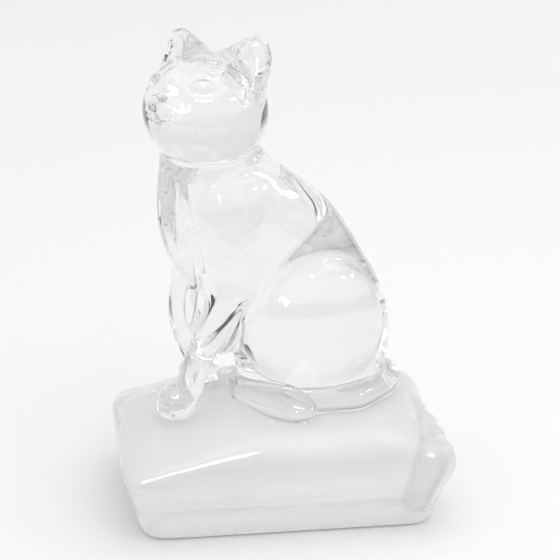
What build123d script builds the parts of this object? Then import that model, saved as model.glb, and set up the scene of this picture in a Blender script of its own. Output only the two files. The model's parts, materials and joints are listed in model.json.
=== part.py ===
"""Pressed crystal cat sitting on a cushion block, its head turned to its left.

Millimetres, +Z up. The origin is at the centre of the cushion's ground underside. X runs
along the cushion's long side; the cat's chest faces -X and its left side faces -Y.
The casting is divided where one sculpted form meets the next. The forms touch face to
face and never overlap: each one is cut back by the forms that were made before it.
"""
from build123d import *
import os

# --- driving dimensions ---------------------------------------------------------------
FOOT_LENGTH = 80.0          # flat ground underside of the cushion
FOOT_WIDTH = 46.5
FOOT_CORNER = 6.0           # corner radius of the underside
SEAM_LENGTH = 88.0          # widest outline of the cushion, at its seam
SEAM_WIDTH = 57.0
SEAM_SHIFT = -1.7           # the seam's middle stands a little towards the cat's chest
SEAM_HEIGHT = 20.0
CROWN_HEIGHT = 33.0         # top of the cushion's crown
# Rounded tufts on the pinched corners: centre and radius
TUFTS = (
    ((38.7, -23.5, 20.5), 7.0),
    ((-40.5, -24.0, 20.5), 4.9),
    ((-40.0, 25.3, 21.0), 5.2),
    ((34.5, 22.0, 20.5), 5.2),
)

HEAD_CENTRE = (-19.8, -0.5, 116.0)
HEAD_SIZE = (33.0, 33.5, 31.0)
HEAD_TURN = 45.0            # degrees, towards the cat's left
HEAD_LIFT = 20.0            # degrees, face upwards
HEAD_ROLL = -6.0            # degrees, left ear the higher
MUZZLE_REACH = 10.5         # muzzle's centre ahead of the head's centre
MUZZLE_DROP = 2.5
MUZZLE_SIZE = (16.0, 19.0, 15.0)

EAR_SPREAD = 9.5            # each ear's foot from the head's middle plane
EAR_SETBACK = 1.5           # each ear's foot behind the head's centre
EAR_HEIGHT = 20.5           # ear's foot, inside the skull, to its tip
EAR_SPLAY = 10.0            # degrees that each ear leans outwards
EAR_LEAN = 1.0              # degrees that each ear leans forwards

ELBOW_CENTRE = (-16.5, -1.0, 59.0)
ELBOW_SIZE = (20.0, 23.0, 26.0)

HAUNCH_CENTRE = (8.0, 9.5, 56.5)
HAUNCH_SIZE = (37.6, 17.5, 39.6)

FOREPAW_SIZE = (12.0, 10.0, 10.5)
LEFT_FOREPAW = (-29.5, -10.5, 35.8)
RIGHT_FOREPAW = (-21.5, 8.5, 35.3)
HIND_PAW_CENTRE = (-3.0, 11.5, 34.5)
HIND_PAW_SIZE = (27.0, 10.5, 10.0)
HIND_PAW_SPLAY = 40.0       # degrees that each hind foot's heel stands out
TAIL_RADIUS = 3.7
TAIL_LEVEL = 35.2           # height of the tail's centre line
TAIL_ROUTE = ((17.0, 6.0), (29.7, 8.5), (30.2, -3.0), (20.0, -12.6), (5.0, -13.6))
TAIL_BEND = 7.0             # radius of the tail's turns

# Ear sections: share of its height, half depth, half width, inset towards the crown
EAR = (
    (0.0, 4.6, 6.8, 0.9),
    (0.5, 4.2, 8.0, 1.4),
    (0.7, 3.6, 6.7, 1.8),
    (0.82, 3.2, 5.0, 1.3),
    (0.93, 2.6, 3.2, 0.4),
    (1.0, 1.5, 1.7, 0.0),
)

# Level outlines of the cushion: height, centre x, length, width, corner radius
CUSHION = (
    (0.0, 0.0, FOOT_LENGTH, FOOT_WIDTH, FOOT_CORNER),
    (1.5, 0.0, FOOT_LENGTH + 1.6, FOOT_WIDTH + 1.6, FOOT_CORNER + 1.0),
    (10.0, SEAM_SHIFT / 2, FOOT_LENGTH + 4.5, FOOT_WIDTH + 4.0, FOOT_CORNER + 2.0),
    (SEAM_HEIGHT, SEAM_SHIFT, SEAM_LENGTH, SEAM_WIDTH, FOOT_CORNER + 4.0),
    (27.0, -2.5, SEAM_LENGTH - 5.0, SEAM_WIDTH - 4.0, FOOT_CORNER + 7.0),
    (31.0, -2.5, SEAM_LENGTH - 19.0, SEAM_WIDTH - 16.0, FOOT_CORNER + 7.0),
    (CROWN_HEIGHT, -2.5, SEAM_LENGTH - 42.0, SEAM_WIDTH - 34.0, FOOT_CORNER + 2.0),
)
# Level ellipses of the torso: height, centre x, half length, half width
TORSO = (
    (30.0, 8.5, 18.5, 12.5),
    (40.0, 8.2, 20.6, 14.0),
    (49.0, 7.8, 22.2, 15.0),
    (57.0, 5.3, 24.0, 15.0),
    (66.0, 0.8, 25.6, 14.5),
    (76.0, -4.9, 25.8, 14.0),
    (87.0, -9.4, 23.7, 14.0),
    (95.0, -13.6, 19.3, 13.2),
    (104.0, -18.3, 13.7, 11.8),
    (108.0, -19.0, 12.5, 11.0),
)
# Level ellipses of the forelegs: height, centre x, centre y, half length, half width
LEFT_FORELEG = (
    (34.5, -27.5, -10.5, 3.8, 4.0),
    (44.0, -25.0, -10.5, 4.0, 4.2),
    (53.0, -21.5, -10.8, 4.3, 4.6),
    (62.0, -17.6, -11.0, 5.6, 5.4),
    (72.0, -14.5, -10.8, 8.4, 6.2),
    (82.0, -13.0, -9.8, 11.0, 6.8),
    (92.0, -12.5, -8.6, 11.0, 6.8),
    (99.0, -13.5, -8.0, 7.0, 4.8),
)
RIGHT_FORELEG = (
    (34.0, -19.5, 8.5, 4.0, 4.0),
    (41.0, -21.6, 8.5, 4.8, 4.4),
    (47.0, -22.8, 8.6, 6.0, 4.8),
    (53.0, -23.3, 8.8, 6.5, 5.2),
    (60.0, -23.0, 9.2, 6.5, 5.6),
    (69.0, -21.3, 9.4, 7.0, 6.0),
    (81.0, -17.0, 9.2, 10.5, 6.6),
    (92.0, -14.5, 8.6, 10.5, 6.6),
    (99.0, -14.0, 8.0, 7.0, 4.8),
)


def ellipsoid(size):
    """A ball stretched to a size along X, Y and Z, centred on the origin."""
    with BuildPart() as ball:
        Sphere(0.5)
        scale(by=size)
    return ball.part


def limb(stations):
    """A leg lofted up through its level ellipses."""
    with BuildPart() as leg:
        for height, x, y, half_length, half_width in stations:
            with BuildSketch(Plane.XY.offset(height)):
                with Locations((x, y)):
                    Ellipse(half_length, half_width)
        loft()
    return leg.part


def ear_form(side):
    """An upright ear with its foot at the origin, its inner edge sloping down into the crown."""
    with BuildPart() as ear:
        for rise, half_depth, half_width, inset in EAR:
            with BuildSketch(Plane.XY.offset(rise * EAR_HEIGHT)):
                with Locations((0, -side * inset)):
                    Ellipse(half_depth, half_width)
        loft()
    return ear.part


# --- cushion --------------------------------------------------------------------------
with BuildPart() as cushion_base:
    for height, x, length, width, corner in CUSHION:
        with BuildSketch(Plane.XY.offset(height)):
            with Locations((x, 0)):
                RectangleRounded(length, width, corner)
    loft()
    for centre, radius in TUFTS:
        with Locations(centre):
            Sphere(radius)

# --- torso ----------------------------------------------------------------------------
with BuildPart() as torso:
    for height, x, half_length, half_width in TORSO:
        with BuildSketch(Plane.XY.offset(height)):
            with Locations((x, 0)):
                Ellipse(half_length, half_width)
    loft()
    add(cushion_base.part, mode=Mode.SUBTRACT)

# --- head -----------------------------------------------------------------------------
skull_form = ellipsoid(HEAD_SIZE)
muzzle_form = ellipsoid(MUZZLE_SIZE)
head_place = Location(HEAD_CENTRE, (0, 0, HEAD_TURN)) * Location((0, 0, 0), (HEAD_ROLL, HEAD_LIFT, 0))
with BuildPart() as head:
    with Locations(head_place):
        add(skull_form)
        with Locations((-MUZZLE_REACH, 0, -MUZZLE_DROP)):
            add(muzzle_form)
    add(torso.part, mode=Mode.SUBTRACT)

# --- ears -----------------------------------------------------------------------------
ears = {}
for side, name in ((-1, "left_ear"), (1, "right_ear")):
    with BuildPart() as ear_piece:
        with Locations(head_place):
            with Locations(Location((EAR_SETBACK, side * EAR_SPREAD, 0), (-side * EAR_SPLAY, -EAR_LEAN, 0))):
                add(ear_form(side))
        add(head.part, mode=Mode.SUBTRACT)
        add(torso.part, mode=Mode.SUBTRACT)
    ears[name] = ear_piece

# --- haunches -------------------------------------------------------------------------
haunch_form = ellipsoid(HAUNCH_SIZE)
haunches = {}
for side, name in ((-1, "left_haunch"), (1, "right_haunch")):
    with BuildPart() as haunch:
        with Locations((HAUNCH_CENTRE[0], side * HAUNCH_CENTRE[1], HAUNCH_CENTRE[2])):
            add(haunch_form)
        add(torso.part, mode=Mode.SUBTRACT)
        add(cushion_base.part, mode=Mode.SUBTRACT)
    haunches[name] = haunch

# --- forelegs and their paws ----------------------------------------------------------
forepaw_form = ellipsoid(FOREPAW_SIZE)
forelegs = {}
forepaws = {}
for side, stations, paw_centre in (
    ("left", LEFT_FORELEG, LEFT_FOREPAW),
    ("right", RIGHT_FORELEG, RIGHT_FOREPAW),
):
    leg_form = limb(stations)
    with BuildPart() as foreleg:
        add(leg_form)
        add(torso.part, mode=Mode.SUBTRACT)
        add(head.part, mode=Mode.SUBTRACT)
        add(haunches[side + "_haunch"].part, mode=Mode.SUBTRACT)
    forelegs[side + "_foreleg"] = foreleg
    with BuildPart() as forepaw:
        with Locations(paw_centre):
            add(forepaw_form)
        add(foreleg.part, mode=Mode.SUBTRACT)
        add(cushion_base.part, mode=Mode.SUBTRACT)
    forepaws[side + "_forepaw"] = forepaw

# --- the glass between the elbows, which the torso runs on into -----------------------
elbow_form = ellipsoid(ELBOW_SIZE)
with BuildPart() as whole_torso:
    with Locations(ELBOW_CENTRE):
        add(elbow_form)
    for neighbour in (*forelegs.values(), *haunches.values(), cushion_base):
        add(neighbour.part, mode=Mode.SUBTRACT)
    add(torso.part)

# --- hind paws ------------------------------------------------------------------------
hind_paw_form = ellipsoid(HIND_PAW_SIZE)
hind_paws = {}
for side, name in ((-1, "left"), (1, "right")):
    place = Location(
        (HIND_PAW_CENTRE[0], side * HIND_PAW_CENTRE[1], HIND_PAW_CENTRE[2]),
        (0, 0, side * HIND_PAW_SPLAY),
    )
    with BuildPart() as hind_paw:
        with Locations(place):
            add(hind_paw_form)
        add(cushion_base.part, mode=Mode.SUBTRACT)
        add(torso.part, mode=Mode.SUBTRACT)
        add(haunches[name + "_haunch"].part, mode=Mode.SUBTRACT)
    hind_paws[name + "_hind_paw"] = hind_paw

# --- tail, laid round the left haunch -------------------------------------------------
with BuildPart() as tail:
    with BuildLine(Plane.XY.offset(TAIL_LEVEL)) as tail_line:
        FilletPolyline(*TAIL_ROUTE, radius=TAIL_BEND)
    with BuildSketch(Plane(origin=tail_line.line @ 0, z_dir=tail_line.line % 0)):
        Circle(TAIL_RADIUS)
    sweep()
    with Locations(tail_line.line @ 1):
        Sphere(TAIL_RADIUS)
    add(cushion_base.part, mode=Mode.SUBTRACT)
    add(torso.part, mode=Mode.SUBTRACT)
    for neighbour in (*haunches.values(), hind_paws["left_hind_paw"]):
        add(neighbour.part, mode=Mode.SUBTRACT)

# --- one STEP file for each form ------------------------------------------------------
pieces = {"cushion_base": cushion_base, "torso": whole_torso, "head": head, "tail": tail}
pieces.update(ears)
pieces.update(haunches)
pieces.update(forelegs)
pieces.update(forepaws)
pieces.update(hind_paws)

os.makedirs("parts", exist_ok=True)
for name, piece in pieces.items():
    piece.part.label = name
    export_step(piece.part, f"parts/{name}.step")
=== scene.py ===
"""Looks of the crystal cat: sculpted glass around the CAD frame, pale studio, camera.

The glass is sculpted as one field of signed distances, in metres, negative inside. It starts
from the CAD nodes, which are melted together as the casting is, and gains the face, ears,
toes and cushion details. The field is then cut back into one closed piece for each node.
"""
import json
import math

import bpy
import numpy as np
import openvdb
from mathutils import Matrix, Vector

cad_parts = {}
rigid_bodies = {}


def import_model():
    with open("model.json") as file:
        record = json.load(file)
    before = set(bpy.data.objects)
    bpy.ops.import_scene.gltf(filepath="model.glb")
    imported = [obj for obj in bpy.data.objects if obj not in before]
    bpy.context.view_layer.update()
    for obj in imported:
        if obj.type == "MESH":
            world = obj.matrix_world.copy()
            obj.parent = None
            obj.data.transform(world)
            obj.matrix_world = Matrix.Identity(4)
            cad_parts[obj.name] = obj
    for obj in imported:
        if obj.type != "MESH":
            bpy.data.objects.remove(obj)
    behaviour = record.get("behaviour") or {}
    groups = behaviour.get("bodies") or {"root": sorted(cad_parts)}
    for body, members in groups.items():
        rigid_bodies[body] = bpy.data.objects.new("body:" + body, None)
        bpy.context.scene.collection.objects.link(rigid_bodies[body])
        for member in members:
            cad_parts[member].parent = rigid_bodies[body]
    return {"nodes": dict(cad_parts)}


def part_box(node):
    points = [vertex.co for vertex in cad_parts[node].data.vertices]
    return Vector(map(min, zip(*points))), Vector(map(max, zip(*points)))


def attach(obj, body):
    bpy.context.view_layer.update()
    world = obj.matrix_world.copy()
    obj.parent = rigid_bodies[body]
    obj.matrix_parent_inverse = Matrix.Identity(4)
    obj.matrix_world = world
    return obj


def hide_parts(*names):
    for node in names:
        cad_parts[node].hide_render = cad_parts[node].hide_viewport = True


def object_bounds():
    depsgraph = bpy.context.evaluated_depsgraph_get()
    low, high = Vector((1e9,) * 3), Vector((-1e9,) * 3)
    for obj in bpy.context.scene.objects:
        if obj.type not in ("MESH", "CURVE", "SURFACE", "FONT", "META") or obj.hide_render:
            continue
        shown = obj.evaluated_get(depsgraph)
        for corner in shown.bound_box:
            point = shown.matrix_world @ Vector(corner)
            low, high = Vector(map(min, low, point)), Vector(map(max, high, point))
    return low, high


for leftover in list(bpy.data.objects):
    bpy.data.objects.remove(leftover)
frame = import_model()
CAD_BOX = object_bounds()

MM = 0.001
CELL = 0.5 * MM    # spacing of the sculpting grid
MARGIN = 3 * MM                             # room round the CAD box
BAND = 6 * MM                               # how far off a CAD node its distance is known

LOW = np.array(CAD_BOX[0]) - MARGIN
COUNT = np.ceil((np.array(CAD_BOX[1]) + MARGIN - LOW) / CELL).astype(int) + 1
LOW[2] = -round(MARGIN / CELL) * CELL       # a grid level lies on the ground underside
AXES = [LOW[i] + CELL * np.arange(COUNT[i]) for i in range(3)]

# Turn of the head on the body, in degrees: to the cat's left, face up, left ear up
HEAD_TURN = 45
HEAD_LIFT = 20
HEAD_ROLL = -6

CRYSTAL_IOR = 1.545
STAGE_MIDDLE = Vector((0, 0, 0.07))         # what the lamps are aimed at and placed round

# Fire-polish: how many times each field is blurred
CAT_PASSES = 3
CUSHION_PASSES = 12
FOLD_PASSES = 2


# --- signed distance fields -------------------------------------------------------------
def millimetres(*sizes):
    return np.array(sizes) * MM


def melt(a, b, fillet):
    """Union of two fields with a fillet of about that size."""
    share = np.clip(0.5 + 0.5 * (b - a) / fillet, 0, 1)
    return b + (a - b) * share - fillet * share * (1 - share)


def node_distance(name):
    """Distance to a CAD node all over the grid, no further than BAND."""
    mesh = frame["nodes"][name].data
    mesh.calc_loop_triangles()
    points = np.empty(3 * len(mesh.vertices), np.float32)
    mesh.vertices.foreach_get("co", points)
    corners = np.empty(3 * len(mesh.loop_triangles), np.int32)
    mesh.loop_triangles.foreach_get("vertices", corners)
    shell = openvdb.FloatGrid.createLevelSetFromPolygons(
        points.reshape(-1, 3) - LOW.astype(np.float32),
        triangles=corners.reshape(-1, 3).astype(np.uint32),
        transform=openvdb.createLinearTransform(voxelSize=CELL),
        halfWidth=BAND / CELL,
    )
    distance = np.empty(COUNT, np.float32)
    shell.copyToArray(distance)
    return distance


def sample(grid, points):
    """Values of a grid between its points, by trilinear interpolation."""
    place = (points - LOW) / CELL
    cell = np.clip(np.floor(place).astype(int), 0, COUNT - 2)
    share = place - cell
    value = np.zeros((len(points),) + grid.shape[3:])
    for corner in np.ndindex(2, 2, 2):
        weight = np.prod(np.where(corner, share, 1 - share), axis=1)
        at = tuple((cell + corner).T)
        value += (weight if grid.ndim == 3 else weight[:, None]) * grid[at]
    return value


def nearby(centre, reach):
    """The part of the grid within reach of a point, and its points measured from there."""
    centre = np.array(centre)
    first = np.clip(np.floor((centre - reach - LOW) / CELL).astype(int), 0, COUNT)
    last = np.clip(np.ceil((centre + reach - LOW) / CELL).astype(int) + 1, 0, COUNT)
    where = tuple(slice(a, b) for a, b in zip(first, last))
    axes = [AXES[i][where[i]] - centre[i] for i in range(3)]
    return where, np.stack(np.meshgrid(*axes, indexing="ij"), -1)


def ball(offsets, half, turn):
    """Distance to an ellipsoid of those half sizes; the columns of turn are its axes."""
    local = offsets @ np.array(turn)
    size = np.linalg.norm(local / half, axis=-1)
    slope = np.linalg.norm(local / np.square(half), axis=-1)
    return size * (size - 1) / np.maximum(slope, 1e-6)


def swell(field, centre, half, turn, fillet):
    """Adds an ellipsoid to the glass."""
    where, offsets = nearby(centre, max(half) + 2 * fillet)
    field[where] = melt(field[where], ball(offsets, half, turn), fillet)


def scoop(field, centre, half, turn, fillet):
    """Takes an ellipsoid out of the glass."""
    where, offsets = nearby(centre, max(half) + 2 * fillet)
    field[where] = -melt(-field[where], ball(offsets, half, turn), fillet)


def stroke(field, path, radius, fillet, cut=False):
    """Draws a rounded ridge along a path of points, or cuts a round-bottomed groove."""
    for start, end in zip(path, path[1:]):
        run = np.array(end) - np.array(start)
        middle = (np.array(end) + np.array(start)) / 2
        where, offsets = nearby(middle, np.linalg.norm(run) / 2 + radius + 2 * fillet)
        along = np.clip(offsets @ run / (run @ run), -0.5, 0.5)
        distance = np.linalg.norm(offsets - along[..., None] * run, axis=-1) - radius
        if cut:
            field[where] = -melt(-field[where], distance, fillet)
        else:
            field[where] = melt(field[where], distance, fillet)


def smooth(field, passes):
    """Blurs a field a little, as fire-polishing softens a pressing."""
    for _ in range(passes):
        for axis in range(3):
            body = np.moveaxis(field, axis, 0)
            body[1:-1] = 0.25 * body[:-2] + 0.5 * body[1:-1] + 0.25 * body[2:]


def settle(field, x, y, z):
    """The point of the glass's skin nearest to a place given in millimetres."""
    point = millimetres(x, y, z)
    steps = CELL * np.concatenate([np.eye(3), -np.eye(3)])
    for _ in range(6):
        around_it = sample(field, point + steps)
        slope = (around_it[:3] - around_it[3:]) / (2 * CELL)
        point = point - sample(field, point[None])[0] * slope / max(slope @ slope, 0.1)
    return point


# --- the casting --------------------------------------------------------------------------
# Each CAD node, and the fillet that it meets the ones before it with
CAT_NODES = {
    "torso": 1.5,
    "left_haunch": 1.6,
    "right_haunch": 1.6,
    "left_foreleg": 3,
    "right_foreleg": 3,
    "head": 1.5,
    "left_ear": 2.5,
    "right_ear": 2.5,
    "left_forepaw": 1,
    "right_forepaw": 1,
    "left_hind_paw": 1,
    "right_hind_paw": 1,
    "tail": 0.8,
}
NODES = ["cushion_base", *CAT_NODES]

# Shallow flutes in the fur of the chest, in millimetres
CHEST_FLUTES = (
    ((-26, -10.5, 98), (-24, -12.5, 87), (-22.5, -13, 76)),
    ((-29, -8, 99), (-29.5, -8, 89), (-28.5, -8, 78)),
    ((-31.5, -2.5, 97), (-32.5, -2.5, 86), (-32.5, -2.5, 76)),
    ((-30.5, 4, 99), (-31.5, 4.5, 88), (-31, 4.5, 78)),
)


def cast():
    """The melted field of the whole casting, and the nearest node to each grid point."""
    cushion = node_distance("cushion_base")
    nearest = cushion.copy()
    label = np.zeros(COUNT, np.uint8)
    cat = np.full(COUNT, BAND, np.float32)
    for number, (name, fillet) in enumerate(CAT_NODES.items(), 1):
        distance = node_distance(name)
        closer = distance < nearest
        nearest[closer] = distance[closer]
        label[closer] = number
        cat = melt(cat, distance, fillet * MM)
    smooth(cat, CAT_PASSES)
    smooth(cushion, CUSHION_PASSES)
    sculpt_cat(cat)
    sculpt_cushion(cushion)
    smooth(cushion, FOLD_PASSES)
    field = melt(cat, cushion, 0.8 * MM)
    field = np.maximum(field, -AXES[2].astype(np.float32))
    return field, label


class Head:
    """Places and directions on the turned head: x ahead of the face is negative, z is up."""

    def __init__(self):
        low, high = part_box("head")
        half = 16.6 * MM
        self.centre = Vector((high.x - half, high.y - half, high.z - 15.5 * MM))
        self.turn = (
            Matrix.Rotation(math.radians(HEAD_TURN), 3, "Z")
            @ Matrix.Rotation(math.radians(HEAD_ROLL), 3, "X")
            @ Matrix.Rotation(math.radians(HEAD_LIFT), 3, "Y")
        )

    def at(self, x, y, z):
        """A point given in millimetres in the head's own axes."""
        return self.centre + self.turn @ (Vector((x, y, z)) * MM)

    def face(self, field, y, z, depth=0.0):
        """The point of the face at that place, or that many millimetres inside it."""
        xs = np.arange(-26, 0, 0.1)
        points = np.array([self.at(x, y, z) for x in xs])
        first = int(np.argmax(sample(field, points) < 0))
        return self.at(xs[first] + depth, y, z)


def sculpt_face(field, head):
    """Snout, nose, mouth, chin, brows and eyes."""
    turn = head.turn
    middle = 0.9    # the nose stands a little to the right of the head's middle plane
    swell(field, head.at(-13.5, middle, 3.5), millimetres(4.3, 3.0, 5.5), turn, 3 * MM)
    for side in (-1, 1):
        pad = head.at(-15.4, middle + side * 2.3, -1)
        swell(field, pad, millimetres(3.8, 2.7, 2.4), turn, 0.8 * MM)
        brow = head.face(field, side * 7.6, 10.2, 1.2)
        swell(field, brow, millimetres(1.9, 4, 1.2), turn, 2 * MM)
    swell(field, head.at(-15.6, middle, -4.8), millimetres(3.2, 3, 1.9), turn, 0.8 * MM)
    swell(field, head.at(-18.2, middle, 1.3), millimetres(1.9, 2.3, 1.4), turn, 0.4 * MM)
    lips = [head.face(field, middle, 0, 0.1), head.face(field, middle, -2.6, 0.1)]
    stroke(field, lips, 0.3 * MM, 0.4 * MM, cut=True)
    smile = ((0, -2.9), (1.5, -3.6), (3.2, -3.6), (4.8, -2.9))
    for side in (-1, 1):
        points = [head.face(field, middle + side * y, z, 0.1) for y, z in smile]
        stroke(field, points, 0.45 * MM, 0.5 * MM, cut=True)
        sculpt_eye(field, head, side)


def sculpt_eye(field, head, side):
    """A socket with the almond of the eye standing in it."""
    facing = Matrix.Rotation(math.radians(34) * side, 3, "Z")
    facing = facing @ Matrix.Rotation(math.radians(22), 3, "Y")
    facing = facing @ Matrix.Rotation(math.radians(-3) * side, 3, "X")
    turn = head.turn @ facing
    socket = head.centre + turn @ Vector((-16.8 * MM, 0, 0))
    scoop(field, socket, millimetres(1.4, 5.0, 3.2), turn, 0.9 * MM)
    almond = head.centre + turn @ Vector((-14.9 * MM, 0, 0))
    swell(field, almond, millimetres(2.3, 3.6, 2.2), turn, 0.35 * MM)


def sculpt_ears(field, head):
    """Full backs that run down into the crown, the open fronts, and the crease round the face."""
    rim = ((0, 12.6), (4.4, 12.6), (6.8, 12.6), (9, 11.4), (11.6, 9), (14, 6.4), (15.6, 4))
    for side, rise in ((-1, 0), (1, -1)):
        turn = head.turn @ Matrix.Rotation(math.radians(-10) * side, 3, "X")
        crest = [head.at(1.5, side * 12, 17.9 + rise), head.at(1.2, side * 2, 12.8)]
        stroke(field, crest, 2.3 * MM, 2 * MM)
        tip = head.at(1.8, side * 13, 18.2 + rise)
        swell(field, tip, millimetres(2.4, 3.2, 3.2), turn, 1 * MM)
        swell(field, head.at(3.4, side * 12.7, 11), millimetres(3.6, 3.4, 8), turn, 2 * MM)
        crease = [head.face(field, side * y, z, -0.2) for y, z in rim]
        stroke(field, crease, 1.1 * MM, 1 * MM, cut=True)
        open_front = head.turn @ Matrix.Rotation(math.radians(5) * side, 3, "X")
        hollow = head.at(-2.9, side * 12.2, 11)
        scoop(field, hollow, millimetres(4.4, 3.3, 8.0), open_front, 0.6 * MM)


def sculpt_paws(field):
    """Clefts between the toes."""
    for name in ("left_forepaw", "right_forepaw"):
        low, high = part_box(name)
        middle = (low + high) / 2
        for share in (-0.5, 0, 0.5):
            y = middle.y + share * 0.5 * (high.y - low.y)
            tip = Vector((low.x - 0.4 * MM, y, middle.z - 2 * MM))
            back = Vector((low.x + 3.2 * MM, y, high.z - 0.6 * MM))
            stroke(field, [tip, back], 0.3 * MM, 0.6 * MM, cut=True)


def sculpt_cat(field):
    """Face, ears, toes and the flutes of the chest."""
    head = Head()
    sculpt_face(field, head)
    sculpt_ears(field, head)
    sculpt_paws(field)
    for flute in CHEST_FLUTES:
        stroke(field, [settle(field, *point) for point in flute], 0.5 * MM, 1.5 * MM, cut=True)


def slope_off(field, x, y, z, facing, fillet):
    """Planes the glass down to a flat that faces that way through a point in millimetres."""
    facing = np.array(facing) / np.linalg.norm(facing)
    axes = [axis - place for axis, place in zip(AXES, millimetres(x, y, z))]
    offsets = np.meshgrid(*axes, indexing="ij", sparse=True)
    above = sum(part * share for part, share in zip(offsets, facing))
    field[:] = -melt(-field, -above, fillet)


def sculpt_cushion(field):
    """The pinched corners before the cat's chest, and the corner gathered by its tail."""
    for side in (-1, 1):
        slope_off(field, -40, side * 29.5, 21, (-0.24, side * 0.34, 0.91), 2.5 * MM)
    end = [(37.5, -1, 24.5), (39, -10, 24), (40.2, -16, 23.3), (40.2, -22, 22)]
    stroke(field, [Vector(point) * MM for point in end], 3 * MM, 2.5 * MM)
    hang = Vector((37.6, -24, 14.5)) * MM
    drape = Matrix.Rotation(math.radians(12), 3, "Y")
    swell(field, hang, millimetres(4.6, 5, 8.5), drape, 3 * MM)
    crease = ((37, -2, 29), (36.2, -14, 29), (34.8, -23, 27), (33.4, -27.6, 24), (32.6, -29, 20))
    stroke(field, [settle(field, *point) for point in crease], 0.7 * MM, 1.5 * MM, cut=True)


# --- from the field to one closed mesh for each node --------------------------------------
def sweep_crumbs(substance, passes=4):
    """Gives single grid points cut off from the rest of their piece to the piece round them."""
    points = np.argwhere(substance)
    ways = np.concatenate([np.eye(3, dtype=int), -np.eye(3, dtype=int)])
    for _ in range(passes):
        own = substance[tuple(points.T)]
        beside = np.stack([substance[tuple((points + way).T)] for way in ways], axis=1)
        alone = np.flatnonzero(np.sum(beside == own[:, None], axis=1) < 2)
        for number in alone:
            counts = np.bincount(beside[number], minlength=2)
            if counts[1:].any():
                substance[tuple(points[number])] = 1 + np.argmax(counts[1:])


def surface_nets(field, label):
    """Vertices, their normals, and quads with the substance on each side of them.

    Substance 0 is air and substance n + 1 is the glass of node n. There is one vertex in each
    grid cell that holds two substances, shared by every piece that meets there.
    """
    substance = np.where(field < 0, label + 1, 0)
    sweep_crumbs(substance)
    cells = COUNT - 1
    size = int(np.prod(cells))
    sums = np.zeros((2, size, 4))
    quads, sides = [], []
    for axis in range(3):
        before = [slice(None)] * 3
        after = [slice(None)] * 3
        before[axis], after[axis] = slice(None, -1), slice(1, None)
        changes = substance[tuple(before)] != substance[tuple(after)]
        start = np.argwhere(changes)
        end = start.copy()
        end[:, axis] += 1
        a, b = substance[tuple(start.T)], substance[tuple(end.T)]
        depth, height = field[tuple(start.T)], field[tuple(end.T)]
        skin = (a == 0) | (b == 0)
        share = np.where(skin, depth / np.where(skin, depth - height, 1), 0.5)
        crossing = start.astype(float)
        crossing[:, axis] += share
        u, v = (axis + 1) % 3, (axis + 2) % 3
        corners = []
        for du, dv in ((-1, -1), (0, -1), (0, 0), (-1, 0)):
            cell = start.copy()
            cell[:, u] += du
            cell[:, v] += dv
            corners.append(np.ravel_multi_index(tuple(cell.T), tuple(cells)))
        weights = np.column_stack([crossing, np.ones(len(start))])
        for corner in corners:
            for kind, chosen in ((0, skin), (1, ~skin)):
                for column in range(4):
                    sums[kind, :, column] += np.bincount(
                        corner[chosen], weights[chosen, column], size
                    )
        quads.append(np.column_stack(corners))
        sides.append(np.column_stack([a, b]))
    quads, sides = np.concatenate(quads), np.concatenate(sides)
    used, flat = np.unique(quads, return_inverse=True)
    quads = flat.reshape(-1, 4)
    on_skin = sums[0, used, 3] > 0
    chosen = np.where(on_skin[:, None], sums[0, used], sums[1, used])
    points = LOW + CELL * chosen[:, :3] / chosen[:, 3:]
    slope = np.stack(np.gradient(field, CELL), -1).astype(np.float32)
    for _ in range(2):
        normals = sample(slope, points[on_skin])
        steep = np.maximum(np.sum(normals**2, axis=1), 0.05)
        step = (sample(field, points[on_skin]) / steep)[:, None] * normals
        points[on_skin] -= np.clip(step, -CELL / 3, CELL / 3)
    relax(points, quads, ~on_skin)
    normals = sample(slope, points)
    normals /= np.maximum(np.linalg.norm(normals, axis=1), 1e-9)[:, None]
    return points, normals, quads, sides


def relax(points, quads, loose):
    """Smooths the walls inside the glass, whose vertices are the loose ones."""
    edges = np.concatenate([quads[:, [i, (i + 1) % 4]] for i in range(4)])
    edges = np.concatenate([edges, edges[:, ::-1]])
    edges = edges[loose[edges[:, 0]]]
    count = np.bincount(edges[:, 0], minlength=len(points))[loose, None]
    for _ in range(12):
        total = [np.bincount(edges[:, 0], points[edges[:, 1], i], len(points)) for i in range(3)]
        points[loose] = np.column_stack(total)[loose] / count


def make_piece(name, number, surface, materials):
    """One node's glass as its own closed mesh: its skin, and clear walls where it is fused on."""
    points, normals, quads, sides = surface
    own = number + 1
    forward, backward = sides[:, 0] == own, sides[:, 1] == own
    faces = np.concatenate([quads[forward], quads[backward][:, ::-1]])
    fused = np.concatenate([sides[forward, 1] > 0, sides[backward, 0] > 0])
    used, flat = np.unique(faces, return_inverse=True)
    mesh = bpy.data.meshes.new(name)
    mesh.vertices.add(len(used))
    mesh.vertices.foreach_set("co", points[used].astype(np.float32).ravel())
    mesh.loops.add(faces.size)
    mesh.loops.foreach_set("vertex_index", flat.ravel().astype(np.int32))
    mesh.polygons.add(len(faces))
    mesh.polygons.foreach_set("loop_start", np.arange(0, faces.size, 4, dtype=np.int32))
    for material in materials:
        mesh.materials.append(material)
    underside = points[faces].max(axis=1)[:, 2] < 0.9 * MM
    ground = underside & (name == "cushion_base")
    finish = np.select([fused, ground], [1, 2])
    mesh.polygons.foreach_set("material_index", finish.astype(np.int32))
    mesh.update(calc_edges=True)
    mesh.shade_smooth()
    mesh.normals_split_custom_set_from_vertices(normals[used].tolist())
    piece = bpy.data.objects.new(name + "_glass", mesh)
    bpy.context.scene.collection.objects.link(piece)
    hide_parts(name)
    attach(piece, "root")
    return piece


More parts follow.
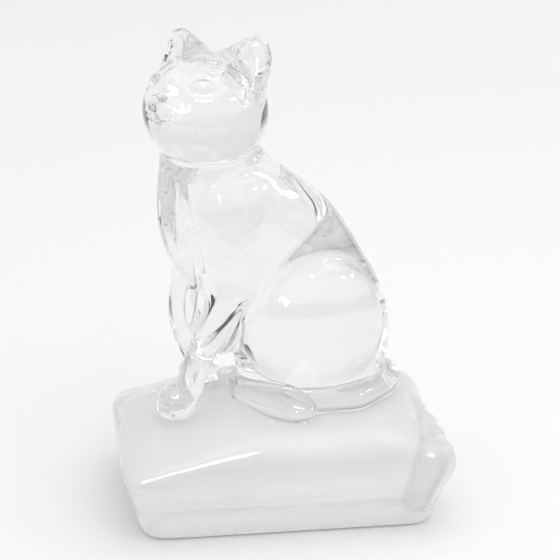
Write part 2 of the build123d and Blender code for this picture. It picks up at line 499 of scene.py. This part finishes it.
# --- materials ------------------------------------------------------------------------------
def new_material(name):
    """A material with nothing but its output, its nodes, and that output."""
    material = bpy.data.materials.new(name)
    material.use_nodes = True
    tree = material.node_tree
    tree.nodes.clear()
    return material, tree, tree.nodes.new("ShaderNodeOutputMaterial")


def crystal(name, tint):
    """Clear lead crystal, fire-polished, with the faint waves that a mould leaves."""
    material, tree, output = new_material(name)
    shader = tree.nodes.new("ShaderNodeBsdfPrincipled")
    shader.inputs["Base Color"].default_value = (*tint, 1)
    shader.inputs["IOR"].default_value = CRYSTAL_IOR
    shader.inputs["Transmission Weight"].default_value = 1
    shader.inputs["Roughness"].default_value = 0
    place = tree.nodes.new("ShaderNodeTexCoord")
    waves = tree.nodes.new("ShaderNodeTexNoise")
    waves.inputs["Scale"].default_value = 90
    waves.inputs["Detail"].default_value = 1
    bump = tree.nodes.new("ShaderNodeBump")
    bump.inputs["Strength"].default_value = 0.25
    bump.inputs["Distance"].default_value = 0.1 * MM
    tree.links.new(place.outputs["Object"], waves.inputs["Vector"])
    tree.links.new(waves.outputs["Fac"], bump.inputs["Height"])
    tree.links.new(bump.outputs["Normal"], shader.inputs["Normal"])
    tree.links.new(shader.outputs["BSDF"], output.inputs["Surface"])
    return material


def fused_glass():
    """The walls inside the casting, where glass runs on into glass: nothing is seen there."""
    material, tree, output = new_material("fused_glass")
    shader = tree.nodes.new("ShaderNodeBsdfTransparent")
    tree.links.new(shader.outputs["BSDF"], output.inputs["Surface"])
    return material


def cloudy_glass(name, tint, clearness, roughness):
    """Glass that clouds what is seen through it: hazy, or ground matt if it has no clearness."""
    material, tree, output = new_material(name)
    shader = tree.nodes.new("ShaderNodeBsdfPrincipled")
    shader.inputs["Base Color"].default_value = (*tint, 1)
    shader.inputs["IOR"].default_value = CRYSTAL_IOR
    shader.inputs["Transmission Weight"].default_value = clearness
    shader.inputs["Roughness"].default_value = roughness
    tree.links.new(shader.outputs["BSDF"], output.inputs["Surface"])
    return material


def paper(name, colour):
    """Matt studio paper."""
    material, tree, output = new_material(name)
    shader = tree.nodes.new("ShaderNodeBsdfPrincipled")
    shader.inputs["Base Color"].default_value = (*colour, 1)
    shader.inputs["Roughness"].default_value = 0.9
    shader.inputs["Specular IOR Level"].default_value = 0.1
    tree.links.new(shader.outputs["BSDF"], output.inputs["Surface"])
    return material


# --- stage, light and camera ----------------------------------------------------------------
def sheet(name, profile, half_width, material):
    """A sheet of paper that casts no shadow: its profile, in y and z, drawn out across x."""
    mesh = bpy.data.meshes.new(name)
    vertices = [(x, y, z) for y, z in profile for x in (-half_width, half_width)]
    faces = [(2 * i, 2 * i + 1, 2 * i + 3, 2 * i + 2) for i in range(len(profile) - 1)]
    mesh.from_pydata(vertices, [], faces)
    mesh.shade_smooth()
    mesh.materials.append(material)
    piece = bpy.data.objects.new(name, mesh)
    bpy.context.scene.collection.objects.link(piece)
    piece.visible_shadow = False
    return piece


def studio():
    """A wide pale floor for the camera, and the small curved sheet that the glass sees instead."""
    floor_paper = paper("floor_paper", (0.825, 0.822, 0.827))
    floor = sheet("floor", [(-3, -0.2 * MM), (3, -0.2 * MM)], 3, floor_paper)
    floor.visible_glossy = floor.visible_transmission = False
    front, back, half_width = -0.4, 0.34, 0.4
    low, height, radius, steps = -0.15 * MM, 0.6, 0.12, 12
    profile = [(front, low), (back - radius, low)]
    for step in range(1, steps + 1):
        angle = step / steps * math.pi / 2
        rise = radius * (1 - math.cos(angle))
        profile.append((back - radius + radius * math.sin(angle), low + rise))
    profile.append((back, height))
    sweep_paper = paper("sweep_paper", (0.8, 0.797, 0.802))
    sweep = sheet("sweep", profile, half_width, sweep_paper)
    sweep.visible_camera = sweep.visible_diffuse = False


def softbox(name, place, size, power, shown_in=("diffuse", "glossy", "transmission")):
    """An oblong lamp at a place, facing the middle of the stage."""
    lamp = bpy.data.lights.new(name, "AREA")
    lamp.shape = "RECTANGLE"
    lamp.size, lamp.size_y = size
    lamp.energy = power
    holder = bpy.data.objects.new(name, lamp)
    holder.location = place
    inward = STAGE_MIDDLE - Vector(place)
    holder.rotation_euler = inward.to_track_quat("-Z", "Y").to_euler()
    bpy.context.scene.collection.objects.link(holder)
    holder.visible_diffuse = "diffuse" in shown_in
    holder.visible_glossy = "glossy" in shown_in
    holder.visible_transmission = "transmission" in shown_in


def outward(azimuth, elevation):
    """A direction in degrees: azimuth 0 is -Y, the cat's left side, and 90 is +X."""
    azimuth, elevation = math.radians(azimuth), math.radians(elevation)
    return Vector((
        math.sin(azimuth) * math.cos(elevation),
        -math.cos(azimuth) * math.cos(elevation),
        math.sin(elevation),
    ))


def around(azimuth, elevation, distance=0.9):
    """A point in that direction from the middle of the stage."""
    return STAGE_MIDDLE + distance * outward(azimuth, elevation)


def room():
    """A pale room, dark below the table top: the glass picks that up as its dark lines."""
    world = bpy.data.worlds.new("room")
    bpy.context.scene.world = world
    world.use_nodes = True
    tree = world.node_tree
    place = tree.nodes.new("ShaderNodeTexCoord")
    split = tree.nodes.new("ShaderNodeSeparateXYZ")
    upward = tree.nodes.new("ShaderNodeMapRange")
    upward.inputs["From Min"].default_value = -1
    upward.inputs["From Max"].default_value = 1
    ramp = tree.nodes.new("ShaderNodeValToRGB")
    tones = ((0, 0.03), (0.5, 0.05), (0.54, 0.4), (0.6, 0.82), (1, 0.92))
    while len(ramp.color_ramp.elements) < len(tones):
        ramp.color_ramp.elements.new(0.5)
    for element, (position, tone) in zip(ramp.color_ramp.elements, tones):
        element.position = position
        element.color = (tone, 0.99 * tone, tone, 1)
    tree.links.new(place.outputs["Generated"], split.inputs["Vector"])
    tree.links.new(split.outputs["Z"], upward.inputs["Value"])
    tree.links.new(upward.outputs["Result"], ramp.inputs["Fac"])
    tree.links.new(ramp.outputs["Color"], tree.nodes["Background"].inputs["Color"])


def light():
    """Soft light from above and in front, and small lamps that only show as highlights."""
    room()
    softbox("overhead", (0.13, -0.12, 0.9), (1.0, 0.8), 2.8)
    softbox("fill", around(25, 40, 1.3), (1.2, 1.0), 2.5, ("diffuse",))
    sparkle = ("glossy",)
    softbox("right_lamp", around(53, 35), (0.12, 0.05), 0.5, sparkle)
    softbox("side_strip", around(88, 33), (0.3, 0.05), 0.9, sparkle)
    softbox("left_lamp", around(-25, 8), (0.05, 0.09), 0.3, sparkle)
    softbox("lower_tube", around(-12, 43), (0.42, 0.045), 1.8, sparkle)
    softbox("upper_tube", around(-12, 49), (0.42, 0.045), 1.8, sparkle)


def camera():
    """Looks at the middle of the figure from its left side, a little in front and above."""
    target = Vector((0, 0, 0.4824 * CAD_BOX[1].z))
    away = outward(-7, 24)
    lens = bpy.data.cameras.new("camera")
    lens.lens = 165.6
    lens.sensor_width = 36
    lens.clip_start = 0.05
    eye = bpy.data.objects.new("camera", lens)
    eye.location = target + 0.7 * away
    eye.rotation_euler = (-away).to_track_quat("-Z", "Y").to_euler()
    bpy.context.scene.collection.objects.link(eye)
    bpy.context.scene.camera = eye


def render_settings():
    """Plain colours, and enough bounces for light to pass through glass inside glass."""
    scene = bpy.context.scene
    scene.view_settings.view_transform = "Standard"
    cycles = scene.cycles
    cycles.max_bounces = 32
    cycles.transmission_bounces = 32
    cycles.glossy_bounces = 16
    cycles.diffuse_bounces = 8
    cycles.transparent_max_bounces = 64
    cycles.use_denoising = True


# --- making -----------------------------------------------------------------------------------
camera()
surface = surface_nets(*cast())
skins = {
    "cushion_crystal": cloudy_glass("cushion_crystal", (0.91, 0.908, 0.915), 0.64, 0.02),
    "cat_crystal": crystal("cat_crystal", (0.945, 0.945, 0.95)),
}
inside = fused_glass()
ground = cloudy_glass("ground_underside", (0.985, 0.985, 0.985), 0, 0.7)
for number, name in enumerate(NODES):
    slot = "cushion_crystal" if name == "cushion_base" else "cat_crystal"
    piece = make_piece(name, number, surface, (skins[slot], inside, ground))
studio()
light()
render_settings()
